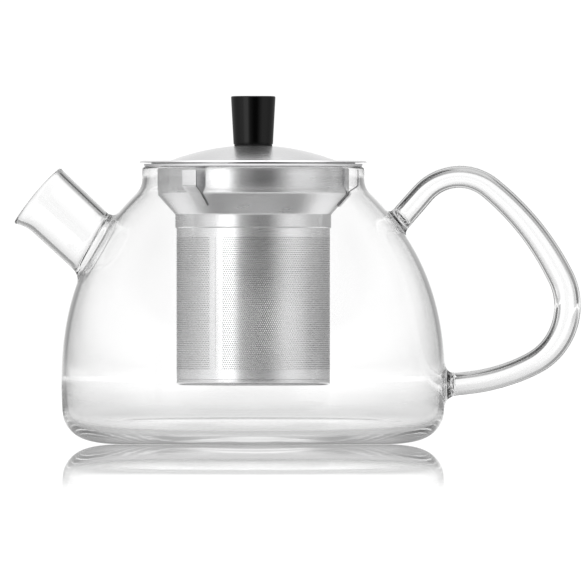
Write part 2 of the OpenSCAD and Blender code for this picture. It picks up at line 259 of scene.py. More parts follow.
def rounded(corners, steps=4, closed=True):
    """A line of (r, z, radius) corners, with each corner rounded by an arc."""
    out, n = [], len(corners)
    for i, (r, z, radius) in enumerate(corners):
        p = np.array([r, z], float)
        if radius <= 0 or (not closed and i in (0, n - 1)):
            out.append(p)
            continue
        a = np.array(corners[i - 1][:2], float) - p
        b = np.array(corners[(i + 1) % n][:2], float) - p
        la, lb = np.linalg.norm(a), np.linalg.norm(b)
        a, b = a / la, b / lb
        half = math.acos(max(-1.0, min(1.0, float(a @ b)))) / 2
        back = min(radius / math.tan(half), 0.49 * la, 0.49 * lb)
        radius = back * math.tan(half)
        middle = p + (a + b) / np.linalg.norm(a + b) * radius / math.sin(half)
        start = p + a * back - middle
        total = math.pi - 2 * half
        end = p + b * back - middle
        if start[0] * end[1] - start[1] * end[0] < 0:
            total = -total
        for k in range(steps + 1):
            c, s = math.cos(total * k / steps), math.sin(total * k / steps)
            out.append(middle + np.array([c * start[0] - s * start[1], s * start[0] + c * start[1]]))
    return np.array(out)


def dense(line, longest, closed=True):
    """The same line with no step longer than longest."""
    out, n = [], len(line)
    for i in range(n if closed else n - 1):
        a, b = line[i], line[(i + 1) % n]
        k = max(1, math.ceil(np.linalg.norm(b - a) / longest))
        out += [a + (b - a) * j / k for j in range(k)]
    if not closed:
        out.append(line[-1])
    return np.array(out)


def quad(a, b, k):
    """The face between two rings of vertices at step k, with no vertex twice."""
    m = (k + 1) % len(a)
    return list(dict.fromkeys((a[k], a[m], b[m], b[k])))


def lathe(profile, n, closed):
    """Vertices and outward faces of a profile turned round Z. An open profile starts and ends on the axis."""
    verts, faces, rings = [], [], []
    for r, z in profile:
        if r < 1e-6:
            rings.append([len(verts)] * n)
            verts.append((0.0, 0.0, z))
        else:
            rings.append(list(range(len(verts), len(verts) + n)))
            verts += [(r * math.cos(TAU * k / n), r * math.sin(TAU * k / n), z) for k in range(n)]
    pairs = list(zip(rings, rings[1:] + rings[:1])) if closed else list(zip(rings, rings[1:]))
    for a, b in pairs:
        for k in range(n):
            face = quad(a, b, k)
            if len(face) > 2:
                faces.append(face)
    area = sum(p[0] * q[1] - q[0] * p[1] for p, q in zip(profile, list(profile[1:]) + [profile[0]]))
    if area < 0:
        faces = [f[::-1] for f in faces]
    return verts, faces


def lathe_piece(name, profile, material, body, nodes=(), n=192, closed=True):
    verts, faces = lathe(profile, n, closed)
    return piece(name, verts, faces, material, body, nodes)


# ---------------------------------------------------------------- glass pot

BELLY_R, FOOT_R, NECK_R, RIM_IN_R = 76.9, 54, 44.5, 42.6
HEEL_Z, BELLY_Z, NECK_LOW, RIM_LOW, RIM_Z = 18, 25.8, 102.8, 107.6, 110.8
SHOULDER_SLOPE, SHOULDER_PULL, NECK_BEND = math.radians(46), 13.7, 2.4
WALL, FLOOR_T, THICKER_BELOW = 1.9, 3.4, 26
FLOOR_RISE, UNDER_RISE, RIM_ROUND = 0.45, 0.35, 0.85
HEEL_EASING, EASED_Z, EASED_SPAN = 24, 19, 6
SEGMENTS = 192


def wall_at(z):
    """The wall's thickness, which grows towards the floor."""
    return WALL + (FLOOR_T - WALL) * max(0.0, 1 - z / THICKER_BELOW) ** 2


def smooth_join(a, b, radius):
    """Lays a short curve over the corner between two runs of points."""
    keep_a = [p for p in a if np.linalg.norm(p - a[-1]) > radius]
    keep_b = [p for p in b if np.linalg.norm(p - b[0]) > radius]
    corner, p0, p2 = a[-1], keep_a[-1], keep_b[0]
    bend = [(1 - t) ** 2 * p0 + 2 * (1 - t) * t * corner + t * t * p2 for t in np.linspace(0, 1, 7)[1:-1]]
    return np.array(keep_a + bend + keep_b)


heel = bezier([[FOOT_R, 0], [72, 0], [BELLY_R, 6], [BELLY_R, HEEL_Z]], 24)
band = np.array([[BELLY_R, z] for z in np.linspace(HEEL_Z, BELLY_Z, 6)[1:-1]])
shoulder = bezier([[BELLY_R, BELLY_Z], [BELLY_R, BELLY_Z + 47],
                   [NECK_R + SHOULDER_PULL * math.cos(SHOULDER_SLOPE),
                    NECK_LOW - SHOULDER_PULL * math.sin(SHOULDER_SLOPE)], [NECK_R, NECK_LOW]], 48)
neck = np.array([[NECK_R, z] for z in np.linspace(NECK_LOW, RIM_LOW, 5)])
side = np.vstack([heel, band, shoulder])
eased = side
for _ in range(HEEL_EASING):
    eased = np.vstack([side[:1], (eased[:-2] + 2 * eased[1:-1] + eased[2:]) / 4, side[-1:]])
side = side + (eased - side) * np.exp(-((side[:, 1] - EASED_Z) / EASED_SPAN) ** 2)[:, None]
side = smooth_join(side, neck, NECK_BEND)
tangents = np.gradient(side, axis=0)
tangents /= np.linalg.norm(tangents, axis=1)[:, None]
side_in = np.array([p - wall_at(p[1]) * np.array([t[1], -t[0]]) for p, t in zip(side, tangents)])[::-1]
under = np.array([[r, UNDER_RISE * (1 - (r / FOOT_R) ** 2) ** 2] for r in np.linspace(0, FOOT_R, 16)[:-1]])
rim = rounded([(NECK_R, RIM_LOW, 0), (NECK_R - 0.1, RIM_Z, RIM_ROUND), (RIM_IN_R, RIM_Z, RIM_ROUND),
               (RIM_IN_R, RIM_LOW, 0)], 10, False)[1:-1]
floor_edge = float(side_in[-1][0])
inner_floor = np.array([[r, FLOOR_T + FLOOR_RISE * (1 + math.cos(math.pi * r / floor_edge))]
                        for r in np.linspace(floor_edge, 0, 28)[1:]])
outline = np.vstack([under, side, rim, side_in, inner_floor])

# The rows of the outline that are the wall's outer and inner side
OUT = (len(under), len(under) + len(side))
INS = (OUT[1] + len(rim), OUT[1] + len(rim) + len(side_in))


class Skin:
    """The pot's surface as a grid of rings, with welded openings cut into it."""

    def __init__(self, line, n):
        self.line, self.n = line, n
        steps = np.linalg.norm(np.diff(line, axis=0), axis=1)
        self.s = np.concatenate([[0], np.cumsum(steps)])
        t = np.gradient(line, axis=0)
        t /= np.linalg.norm(t, axis=1)[:, None]
        self.normal = np.stack([t[:, 1], -t[:, 0]], axis=1)
        self.verts, self.faces, self.normals = [], [], {}
        self.rings = []
        for i, (r, z) in enumerate(line):
            if r < 1e-6:
                self.rings.append([self.add((0, 0, z), i)] * n)
            else:
                self.rings.append([self.add((r * math.cos(TAU * k / n), r * math.sin(TAU * k / n), z), i)
                                   for k in range(n)])
        self.gone = set()

    def add(self, p, row=None):
        self.verts.append(tuple(float(c) for c in p))
        i = len(self.verts) - 1
        if row is not None:
            nr, nz = self.normal[row]
            a = math.atan2(p[1], p[0])
            self.normals[i] = (nr * math.cos(a), nr * math.sin(a), nz)
        return i

    def add_many(self, points):
        return [self.add(p) for p in points]

    def span(self, part):
        """(z, r, s) of one side of the wall, with z rising."""
        rows = np.arange(*part)
        z, r, s = self.line[rows, 1], self.line[rows, 0], self.s[rows]
        order = np.argsort(z)
        return z[order], r[order], s[order]

    def radius(self, part, z):
        zs, rs, _ = self.span(part)
        return float(np.interp(z, zs, rs))

    def meet(self, part, start, step):
        """How far along step from start the surface is first crossed, for a line that starts outside it."""
        start, step = np.asarray(start, float), np.asarray(step, float)

        def gap(s):
            p = start + s * step
            return math.hypot(p[0], p[1]) - self.radius(part, p[2])

        low = -12.0
        while gap(low + 0.5) > 0:
            low += 0.5
        high = low + 0.5
        for _ in range(40):
            m = (low + high) / 2
            if gap(m) > 0:
                low = m
            else:
                high = m
        return (low + high) / 2

    def surface_normal(self, part, p):
        zs, _, _ = self.span(part)
        rows = np.arange(*part)
        order = np.argsort(self.line[rows, 1])
        nr = np.interp(p[2], zs, self.normal[rows[order], 0])
        nz = np.interp(p[2], zs, self.normal[rows[order], 1])
        length = math.hypot(nr, nz)
        a = math.atan2(p[1], p[0])
        return np.array([nr * math.cos(a), nr * math.sin(a), nz]) / length

    def open(self, part, loop):
        """Cuts the grid along a closed loop of points on it and gives the loop's vertices."""
        zs, _, ss = self.span(part)
        centre = np.mean(loop, axis=0)
        column = round(math.atan2(centre[1], centre[0]) / TAU * self.n)
        mean_r = math.hypot(*loop[0][:2])
        step = TAU / self.n

        def flat(p):
            a = math.atan2(p[1], p[0]) - column * step
            a = (a + math.pi) % TAU - math.pi
            return np.array([a * mean_r, float(np.interp(p[2], zs, ss))])

        ring = np.array([flat(p) for p in loop])
        wide = int(max(abs(ring[:, 0])) / (step * mean_r)) + 3
        rows = np.arange(*part)
        low = max(int(np.searchsorted(self.s, ring[:, 1].min())) - 3, rows[0])
        high = min(int(np.searchsorted(self.s, ring[:, 1].max())) + 3, rows[-1])
        ids, points, at = [], [], {}
        for i in range(low, high + 1):
            for k in range(-wide, wide + 1):
                p = np.array([k * step * mean_r, self.s[i]])
                edge = i in (low, high) or abs(k) == wide
                if not edge and (inside(ring, p) or near(ring, p) < 0.45 * step * mean_r):
                    continue
                at[i, k] = len(points)
                ids.append(self.rings[i][(column + k) % self.n])
                points.append(p)
        edges = []
        for k in range(-wide, wide):
            edges += [(at[low, k], at[low, k + 1]), (at[high, k], at[high, k + 1])]
        for i in range(low, high):
            edges += [(at[i, -wide], at[i + 1, -wide]), (at[i, wide], at[i + 1, wide])]
        base = len(points)
        made = [self.add(p) for p in loop]
        for i, p in zip(made, loop):
            self.normals[i] = tuple(self.surface_normal(part, p))
        ids += made
        points += list(ring)
        edges += [(base + k, base + (k + 1) % len(loop)) for k in range(len(loop))]
        out = delaunay_2d_cdt([Vector(p) for p in points], edges, [], 0, 1e-7)
        back = [o[0] if o else None for o in out[3]]
        for f in out[2]:
            f = [back[v] for v in f]
            if None in f:
                raise ValueError("the opening's patch has a point that isn't the surface's")
            if inside(ring, np.mean([points[v] for v in f], axis=0)):
                continue
            f = [ids[v] for v in f]
            a, b, c = (np.array(self.verts[v]) for v in f[:3])
            n = np.cross(b - a, c - a)
            self.faces.append(f if n @ self.surface_normal(part, a) > 0 else f[::-1])
        for i in range(low, high):
            for k in range(-wide, wide):
                self.gone.add((i, (column + k) % self.n))
        return made

    def close(self):
        """Makes the faces of the grid that no opening took."""
        for i in range(len(self.rings) - 1):
            for k in range(self.n):
                if (i, k) not in self.gone:
                    self.faces.append(quad(self.rings[i], self.rings[i + 1], k))

    def strip(self, a, b):
        """Faces between two rings of vertices. Their winding is made alike at the end."""
        self.faces += [quad(a, b, k) for k in range(len(a))]


def inside(ring, p):
    """Whether a point of the plane is inside a closed ring of points."""
    x, y = ring[:, 0], ring[:, 1]
    x2, y2 = np.roll(x, -1), np.roll(y, -1)
    crosses = (y > p[1]) != (y2 > p[1])
    with np.errstate(divide="ignore", invalid="ignore"):
        at = x + (p[1] - y) * (x2 - x) / (y2 - y)
    return bool(np.count_nonzero(crosses & (p[0] < at)) % 2)


def near(ring, p):
    """How far a point of the plane is from a closed ring of points."""
    a, b = ring, np.roll(ring, -1, axis=0)
    d = b - a
    t = np.clip(((p - a) * d).sum(1) / (d * d).sum(1), 0, 1)
    return float(np.linalg.norm(a + d * t[:, None] - p, axis=1).min())


def tube_ring(centre, u, v, r, n):
    """Points round a tube."""
    return [centre + r * (math.cos(TAU * k / n) * u + math.sin(TAU * k / n) * v) for k in range(n)]


def weld(skin, part, centre, out, u, v, r, on_body, on_tube, n, steps=7):
    """Opens the skin round a tube and adds the fillet's rings, from on_body round the tube to on_tube along it.

    It gives the last ring and its distances along out.
    """
    far, full = 24.0, 0.62
    wide, tight = tube_ring(centre, u, v, r + on_body, n), tube_ring(centre, u, v, r, n)
    loop = [p + out * far - out * skin.meet(part, p + out * far, -out) for p in wide]
    foot = [far - skin.meet(part, p + out * far, -out) for p in tight]
    last = skin.open(part, loop)
    tips = [p + out * (s + on_tube) for p, s in zip(tight, foot)]
    pulls = []
    for p, q in zip(loop, (p + out * s for p, s in zip(tight, foot))):
        normal = skin.surface_normal(part, p)
        pulls.append((q - p) - ((q - p) @ normal) * normal)
    for i in range(1, steps + 1):
        t = i / steps
        points = []
        for b, pull, tip in zip(loop, pulls, tips):
            c1 = b + pull * full
            c2 = tip - out * on_tube * full
            points.append((1 - t) ** 3 * b + 3 * (1 - t) ** 2 * t * c1
                          + 3 * (1 - t) * t * t * c2 + t ** 3 * tip)
        made = skin.add_many(points)
        skin.strip(last, made)
        last = made
    return last, [s + on_tube for s in foot]


skin = Skin(outline, SEGMENTS)

# Spout: d runs out along its axis, u is square to it towards the lid, v is +Y
SPOUT_N, SPOUT_R, SPOUT_WALL, SPOUT_Z, SPOUT_LONG = 64, 12.85, 1.8, 79.6, 31.6
SPOUT_FLARE, MOUTH_BOW, MOUTH_R, MOUTH_PEAK = 0.01, 0.0052, 13, 4.8
LIP_FROM, LIP_LONG, LIP_OUT, LIP_ALL_ROUND, LIP_CURVE = 8.5, 7.5, 2.1, 0.1, 2.2
EDGE = SPOUT_WALL / 2
rise = math.radians(43)
spout_d = np.array([-math.cos(rise), 0, math.sin(rise)])
spout_u = np.array([math.sin(rise), 0, math.cos(rise)])
spout_v = np.array([0, 1.0, 0])
spout_root = np.array([-skin.radius(OUT, SPOUT_Z), 0, SPOUT_Z])


def mouth_at(a):
    """Where the mouth's edge is along the spout's axis, a little bowed."""
    return SPOUT_LONG - MOUTH_BOW * (MOUTH_R * math.cos(a) - MOUTH_PEAK) ** 2


def spout_radius(s, a):
    """The outer radius, with the lip that is drawn out on the lower side."""
    below = ((1 - math.cos(a)) / 2) ** 2
    t = max(0.0, min(1.0, (s - (mouth_at(a) - LIP_FROM)) / LIP_LONG))
    return SPOUT_R + SPOUT_FLARE * s + (LIP_ALL_ROUND + LIP_OUT * below) * t ** LIP_CURVE


def spout_point(s, a, r):
    return spout_root + s * spout_d + r * (math.cos(a) * spout_u + math.sin(a) * spout_v)


turns = [TAU * k / SPOUT_N for k in range(SPOUT_N)]
last, starts = weld(skin, OUT, spout_root, spout_d, spout_u, spout_v, SPOUT_R, on_body=3.0, on_tube=4.4,
                    n=SPOUT_N)
for i in range(1, 19):
    t = i / 18
    places = ((a, s0 + (mouth_at(a) - EDGE - s0) * t) for a, s0 in zip(turns, starts))
    ring = skin.add_many(spout_point(s, a, spout_radius(s, a)) for a, s in places)
    skin.strip(last, ring)
    last = ring
for i in range(1, 9):
    b = math.pi * i / 8
    ring = skin.add_many(
        spout_point(mouth_at(a) - EDGE + EDGE * math.sin(b), a,
                    spout_radius(mouth_at(a) - EDGE, a) - EDGE + EDGE * math.cos(b)) for a in turns)
    skin.strip(last, ring)
    last = ring
inner, inner_starts = weld(skin, INS, spout_root, spout_d, spout_u, spout_v, SPOUT_R - SPOUT_WALL,
                           on_body=1.4, on_tube=1.8, n=SPOUT_N, steps=5)
for i in range(1, 19):
    t = i / 19
    places = ((a, mouth_at(a) - EDGE + (s0 - mouth_at(a) + EDGE) * t) for a, s0 in zip(turns, inner_starts))
    ring = skin.add_many(spout_point(s, a, spout_radius(s, a) - SPOUT_WALL) for a, s in places)
    skin.strip(last, ring)
    last = ring
skin.strip(last, inner)

# Handle: a route in the XZ plane of headings that only turn clockwise as seen from -Y
HANDLE_N, HANDLE_SOLID_R, HANDLE_WALL, HANDLE_Z, HANDLE_RISE = 48, 5, 1.6, 88.4, math.radians(48.8)
EASE_FROM, EASE_LONG, THIN_SHARE, FOOT_REACH = 15, 20, 0.5, 9.5
BENDS = [(None, 15.4), (19.6, 88.0), (110.0, 23.7), (25.8, 90.3), (75.5, 20.3)]
RADII = [(0, 4.75), (12, 4.7), (28, 4.35), (46, 4.7), (66, 4.95), (90, 5.3), (108, 5.3), (122, 5.0), (136, 4.7),
         (150, 4.6), (170, 4.6)]
handle_root = np.array([skin.radius(OUT, HANDLE_Z) - 0.03, 0, HANDLE_Z])


def handle_route(step):
    """(place, heading, distance) along the handle: a straight limb, then arcs of (radius, degrees)."""
    x, z, h = handle_root[0], handle_root[2], HANDLE_RISE
    out, gone = [(np.array([x, 0, z]), h, 0.0)], 0.0
    for radius, size in BENDS:
        length = size if radius is None else radius * math.radians(size)
        k = max(1, round(length / step))
        for _ in range(k):
            part = length / k
            turn = 0.0 if radius is None else part / radius
            chord = part if turn == 0 else 2 * radius * math.sin(turn / 2)
            h -= turn / 2
            x += chord * math.cos(h)
            z += chord * math.sin(h)
            h -= turn / 2
            gone += part
            out.append((np.array([x, 0, z]), h, gone))
    return out


def softened(values, rounds):
    values = np.array(values, float)
    for _ in range(rounds):
        values[1:-1] = (values[:-2] + 2 * values[1:-1] + values[2:]) / 4
    return values


def frame_at(h):
    """The directions along, above and beside a tube with this heading."""
    return (np.array([math.cos(h), 0, math.sin(h)]), np.array([-math.sin(h), 0, math.cos(h)]),
            np.array([0, 1.0, 0]))


route = handle_route(1.5)
foot_heading = route[-1][1]
radii = softened([float(np.interp(s, *zip(*RADII))) for _, _, s in route], 12)


def handle_centre(i):
    """The route's point, drawn in where the tube is wider than the solid so that its outer edge stays.

    Where the tube is thinner, it is moved out by a share of the difference.
    """
    place, h, s = route[i]
    _, u, _ = frame_at(h)
    wider = radii[i] - HANDLE_SOLID_R
    eased = min(1.0, max(0.0, (s - EASE_FROM) / EASE_LONG))
    return place - u * wider * eased * (1.0 if wider > 0 else THIN_SHARE)


d0, u0, v0 = frame_at(route[0][1])
last, starts = weld(skin, OUT, handle_root, d0, u0, v0, radii[0], on_body=2.0, on_tube=2.6, n=HANDLE_N)
first_s = max(starts) + 1.0
run_in, u1, v1 = frame_at(foot_heading)
foot_centre = handle_centre(len(route) - 1)
end_ring, _ = weld(skin, OUT, foot_centre + run_in * FOOT_REACH, -run_in, u1, v1, radii[-1],
                   on_body=4.2, on_tube=4.6, n=HANDLE_N, steps=9)
for i, (_, h, s) in enumerate(route):
    if s >= first_s:
        _, u, v = frame_at(h)
        ring = skin.add_many(tube_ring(handle_centre(i), u, v, radii[i], HANDLE_N))
        skin.strip(last, ring)
        last = ring
skin.strip(last, end_ring)
skin.close()

# The handle's bore, closed by a round end near each weld
BORE_FROM, BORE_PAST = 3.5, 5.6
bore = [(handle_centre(i), h, radii[i] - HANDLE_WALL) for i, (_, h, s) in enumerate(route) if s >= BORE_FROM]
bore.append((foot_centre + run_in * BORE_PAST, foot_heading, radii[-1] - HANDLE_WALL))


def bore_rings():
    """(centre, u, v, radius) of each ring from one round end to the other."""
    def round_end(k, end, way):
        centre, heading, r = end
        d, u, v = frame_at(heading)
        a = math.pi / 2 * k / 6
        return centre + way * d * r * math.sin(a), u, v, max(r * math.cos(a), 0.0)

    yield from (round_end(k, bore[0], -1) for k in range(6, 0, -1))
    for centre, heading, r in bore:
        _, u, v = frame_at(heading)
        yield centre, u, v, r
    yield from (round_end(k, bore[-1], 1) for k in range(1, 7))


bore_first = len(skin.verts)
last = None
for centre, u, v, r in bore_rings():
    if r < 1e-6:
        ring = [skin.add(centre)] * HANDLE_N
    else:
        ring = skin.add_many(tube_ring(centre, u, v, r, HANDLE_N))
    if last is not None:
        skin.strip(last, ring)
    last = ring


def glass_piece():
    """The skin and the bore as one piece, with the normals of the turned form kept beside the welds."""
    mesh = bpy.data.meshes.new("pot_glass")
    mesh.from_pydata([tuple(c * MM for c in v) for v in skin.verts], [], skin.faces)
    work = bmesh.new()
    work.from_mesh(mesh)
    work.verts.ensure_lookup_table()
    loose = [v for v in work.verts if not v.link_faces]
    keep = {v.index: i for i, v in enumerate(v for v in work.verts if v.link_faces)}
    bore_verts = set(range(bore_first, len(skin.verts)))
    bore_faces = [f for f in work.faces if f.verts[0].index in bore_verts]
    others = [f for f in work.faces if f.verts[0].index not in bore_verts]
    bmesh.ops.recalc_face_normals(work, faces=others)
    bmesh.ops.recalc_face_normals(work, faces=bore_faces)
    bmesh.ops.reverse_faces(work, faces=bore_faces)
    bmesh.ops.delete(work, geom=loose, context="VERTS")
    work.to_mesh(mesh)
    work.free()
    mesh.shade_smooth()
    own = np.zeros(len(mesh.vertices) * 3)
    mesh.vertex_normals.foreach_get("vector", own)
    own = own.reshape(-1, 3)
    for i, n in skin.normals.items():
        if i in keep and own[keep[i]] @ np.array(n) > 0.9:
            own[keep[i]] = n
    mesh.normals_split_custom_set_from_vertices([tuple(n) for n in own])
    mesh.materials.append(GLASS)
    obj = bpy.data.objects.new("pot_glass", mesh)
    bpy.context.scene.collection.objects.link(obj)
    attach(obj, "pot")
    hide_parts("glass_body", "spout", "handle")


glass_piece()


# ---------------------------------------------------------------- strainer

TUBE_R, STEEL_T, FOIL_T = 30.7, 0.5, 0.3
COLLAR_R, COLLAR_LOW, CONE_LOW, SLEEVE_LOW = 38.3, 99.4, 91.6, 86.2
SLEEVE_R = TUBE_R + STEEL_T
FLANGE_R, FLANGE_TOP, REST_GAP = 43.8, 112.0, 0.02

outer = rounded([(41.8, RIM_Z + REST_GAP, 0), (COLLAR_R, RIM_Z + REST_GAP, 0.7), (COLLAR_R, COLLAR_LOW, 0.9),
                 (SLEEVE_R, CONE_LOW, 0.8), (SLEEVE_R, SLEEVE_LOW + 0.35, 0), (SLEEVE_R - 0.3, SLEEVE_LOW, 0)],
                6, False)
cone_turn = math.atan2(COLLAR_R - SLEEVE_R, COLLAR_LOW - CONE_LOW)
mitre = STEEL_T * math.tan(cone_turn / 2)
inside_line = rounded([(SLEEVE_R - 0.46, SLEEVE_LOW, 0), (TUBE_R + 0.02, CONE_LOW + mitre, 0.6),
                       (COLLAR_R - STEEL_T, COLLAR_LOW + mitre, 0.6), (COLLAR_R - STEEL_T, FLANGE_TOP, 1.0),
                       (FLANGE_R - 0.6, FLANGE_TOP, 0)], 6, False)
hem = rounded([(FLANGE_R - 0.6, FLANGE_TOP, 0), (FLANGE_R, FLANGE_TOP, 0.1),
               (FLANGE_R - 0.45, RIM_Z + REST_GAP, 0.1), (FLANGE_R - 1.4, RIM_Z + REST_GAP, 0)], 4, False)[1:]
collar_line = dense(np.vstack([outer, inside_line, hem]), 1.5)
collar = lathe_piece("strainer_collar", collar_line, STEEL, "strainer", ("infuser_collar",))
# The flange's hem gets the painted highlight.
paint_rim_highlight(collar, PAINTED_HIGHLIGHT_STEEL, lambda r, z: r > FLANGE_R - 1.0 and z > RIM_Z + 0.1)

CUP_LOW, CUP_ROUND, CUP_RIM, CUP_TUCKED = 23.2, 2.4, 2.7, 4.9
tuck_r, cup_in_r = TUBE_R - FOIL_T - 0.02, TUBE_R - FOIL_T - STEEL_T
cup = rounded([(0, CUP_LOW, 0), (TUBE_R, CUP_LOW, CUP_ROUND + 0.4), (TUBE_R, CUP_LOW + CUP_RIM, 0.12),
               (tuck_r, CUP_LOW + CUP_RIM + 0.05, 0.05), (tuck_r, CUP_LOW + CUP_TUCKED, 0),
               (cup_in_r, CUP_LOW + CUP_TUCKED, 0), (cup_in_r, CUP_LOW + STEEL_T, CUP_ROUND - STEEL_T),
               (0, CUP_LOW + STEEL_T, 0)], 6, False)
lathe_piece("strainer_base", dense(cup, 4.0, False), STEEL, "strainer", ("infuser_base",),
            closed=False)

# Perforated foil: staggered holes in cells of six corners, in four panels beside a plain seam strip
PITCH, ROWS, HOLE_R = 0.84, 63, 0.24
FIRST_Z, FOIL_TOP = 30.16, 90.3
SEAM_MID, SEAM_W = math.radians(241.2), 5.25 / TUBE_R
SEAM_PROUD, LAP_T, LAP_FROM = 0.015, 0.1, 0.42
around = TAU - SEAM_W
COLUMNS = round(around * TUBE_R / PITCH)
cell_turn = around / COLUMNS
turn0 = SEAM_MID + SEAM_W / 2
HOLE = [math.radians(a) for a in (-150, -90, -30, 30, 90, 150)]


def foil_point(a, z, r=TUBE_R):
    return (r * math.cos(a), r * math.sin(a), z)


def foil_panel(name, first, count):
    """Columns of cells, each a hexagon round its hole, as a sheet."""
    half = PITCH / 2
    index, verts, faces = {}, [], []

    def corner(c2, row):
        key = (c2, row)
        if key not in index:
            index[key] = len(verts)
            verts.append(foil_point(turn0 + c2 * cell_turn / 2, FIRST_Z - half + row * PITCH))
        return index[key]

    for row in range(ROWS):
        shift = row % 2
        for c in range(first, first + count):
            low = 2 * c + shift
            if c == COLUMNS - 1 and shift:
                continue
            ring = [corner(low, row), corner(low + 1, row), corner(low + 2, row),
                    corner(low + 2, row + 1), corner(low + 1, row + 1), corner(low, row + 1)]
            a0, z0 = turn0 + (low + 1) * cell_turn / 2, FIRST_Z + row * PITCH
            hole = range(len(verts), len(verts) + 6)
            verts += [foil_point(a0 + HOLE_R * math.cos(a) / TUBE_R, z0 + HOLE_R * math.sin(a)) for a in HOLE]
            faces += [quad(ring, hole, k) for k in range(6)]
    obj = piece(name, verts, faces, FOIL, "strainer", ("infuser_tube",))
    thick = obj.modifiers.new("sheet", "SOLIDIFY")
    thick.thickness = (FOIL_T - 0.06) * MM
    thick.offset = -1
    solid = bpy.data.meshes.new_from_object(obj.evaluated_get(bpy.context.evaluated_depsgraph_get()))
    obj.modifiers.clear()
    solid.set_sharp_from_angle(angle=math.radians(35))
    obj.data = solid


panel = math.ceil(COLUMNS / 4)
for i in range(4):
    foil_panel(f"strainer_foil_{i + 1}", i * panel, min(panel, COLUMNS - i * panel))

foil_low, foil_high = FIRST_Z - PITCH / 2, FIRST_Z - PITCH / 2 + ROWS * PITCH


def foil_band(name, low, high):
    r0, r1 = TUBE_R - FOIL_T, TUBE_R
    lathe_piece(name, dense(np.array([[r0, low], [r1, low], [r1, high], [r0, high]]), 3.0), FOIL, "strainer",
                ("infuser_tube",))


foil_band("strainer_foil_top", foil_high, FOIL_TOP)
foil_band("strainer_foil_bottom", CUP_LOW + CUP_RIM + 0.1, foil_low)


def seam_strip():
    """The plain strip of the seam, with the lapped edge standing a little proud."""
    verts, faces = [], []
    n = 12
    side_a = SEAM_MID - SEAM_W / 2 - 0.5 * cell_turn
    side_b = SEAM_MID + SEAM_W / 2 + 0.5 * cell_turn
    for z in (foil_low, foil_high):
        for r in (TUBE_R + SEAM_PROUD, TUBE_R - FOIL_T):
            for k in range(n + 1):
                step = LAP_T if (k > n * LAP_FROM and r > TUBE_R) else 0.0
                verts.append(foil_point(side_a + (side_b - side_a) * k / n, z, r + step))
    row = n + 1
    for k in range(n):
        faces.append((k, k + 1, 2 * row + k + 1, 2 * row + k))
        faces.append((row + k + 1, row + k, 3 * row + k, 3 * row + k + 1))
        faces.append((k + 1, k, row + k, row + k + 1))
        faces.append((2 * row + k, 2 * row + k + 1, 3 * row + k + 1, 3 * row + k))
    faces.append((0, 2 * row, 3 * row, row))
    faces.append((n, row + n, 3 * row + n, 2 * row + n))
    obj = piece("strainer_seam", verts, faces, FOIL, "strainer", ("infuser_tube",))
    obj.data.polygons.foreach_set("use_smooth", [False] * len(obj.data.polygons))


seam_strip()

# Spring clips: a strip that lies along the cone and bends up at the knee
CLIP_T, CLIP_W, CLIP_R, CLIP_LOW, CLIP_TOP, CLIP_KNEE, CLIP_GAP = 0.4, 6.7, 42.1, 94.6, 109.4, 1.0, 0.1


def clip(name, turn, body, node):
    lean, off = math.tan(cone_turn), CLIP_GAP + CLIP_T
    low_r = SLEEVE_R + (CLIP_LOW - CONE_LOW) * lean + off / math.cos(cone_turn)
    knee_z = CONE_LOW + (CLIP_R - SLEEVE_R) / lean - off / math.sin(cone_turn)
    line = rounded([(low_r, CLIP_LOW, 0), (CLIP_R, knee_z, CLIP_KNEE), (CLIP_R, CLIP_TOP, 0)], 7, False)
    line = dense(line, 1.0, False)
    g = np.gradient(line, axis=0)
    g /= np.linalg.norm(g, axis=1)[:, None]
    back = line + CLIP_T * np.stack([-g[:, 1], g[:, 0]], axis=1)
    loop = np.vstack([line, back[::-1]])
    middle = (line + back) / 2
    centre = np.vstack([middle, middle[::-1]])
    across = [-1.0, -0.94, -0.5, 0.0, 0.5, 0.94, 1.0]
    verts, faces = [], []
    n = len(loop)
    for w in across:
        thinner = 0.12 if abs(w) == 1.0 else 0.0
        for p, c in zip(loop, centre):
            q = p + (c - p) * thinner
            y = w * CLIP_W / 2
            verts.append((q[0] * math.cos(turn) - y * math.sin(turn),
                          q[0] * math.sin(turn) + y * math.cos(turn), q[1]))
    rows = [tuple(range(j * n, (j + 1) * n)) for j in range(len(across))]
    for a, b in zip(rows, rows[1:]):
        faces += [quad(a, b, k) for k in range(n)]
    faces += [rows[0][::-1], rows[-1]]
    mesh = bpy.data.meshes.new(name)
    mesh.from_pydata([tuple(c * MM for c in v) for v in verts], [], faces)
    work = bmesh.new()
    work.from_mesh(mesh)
    bmesh.ops.recalc_face_normals(work, faces=work.faces)
    work.to_mesh(mesh)
    work.free()
    mesh.shade_smooth()
    mesh.set_sharp_from_angle(angle=math.radians(40))
    mesh.materials.append(SPRING)
    mesh.materials.append(PAINTED_DARK_EDGE)
    # The strip's cut sides, square to its width, get the painted shade.
    for face in mesh.polygons:
        across_strip = face.normal.x * -math.sin(turn) + face.normal.y * math.cos(turn)
        face.material_index = int(abs(across_strip) > 0.7)
    obj = bpy.data.objects.new(name, mesh)
    bpy.context.scene.collection.objects.link(obj)
    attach(obj, body)
    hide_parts(node)


for side_name, degrees in (("right", 352.8), ("front", 233.3), ("back", 112.8)):
    clip(f"clip_{side_name}_strip", math.radians(degrees), f"clip_{side_name}", f"spring_clip_{side_name}")


# ---------------------------------------------------------------- lid and knob

LID_R, LID_LOW, LID_T, DOME_R, DOME_H, BORE_R = 45.4, 112.6, 0.6, 33.5, 6.3, 2.2
KNOB_LOW_R, KNOB_TOP_R, KNOB_TALL, PAD_R, PAD_T = 7.9, 8.95, 19.4, 7.6, 0.7
LID_TOP = LID_LOW + LID_T
BALL_R = (DOME_R ** 2 + DOME_H ** 2) / (2 * DOME_H)


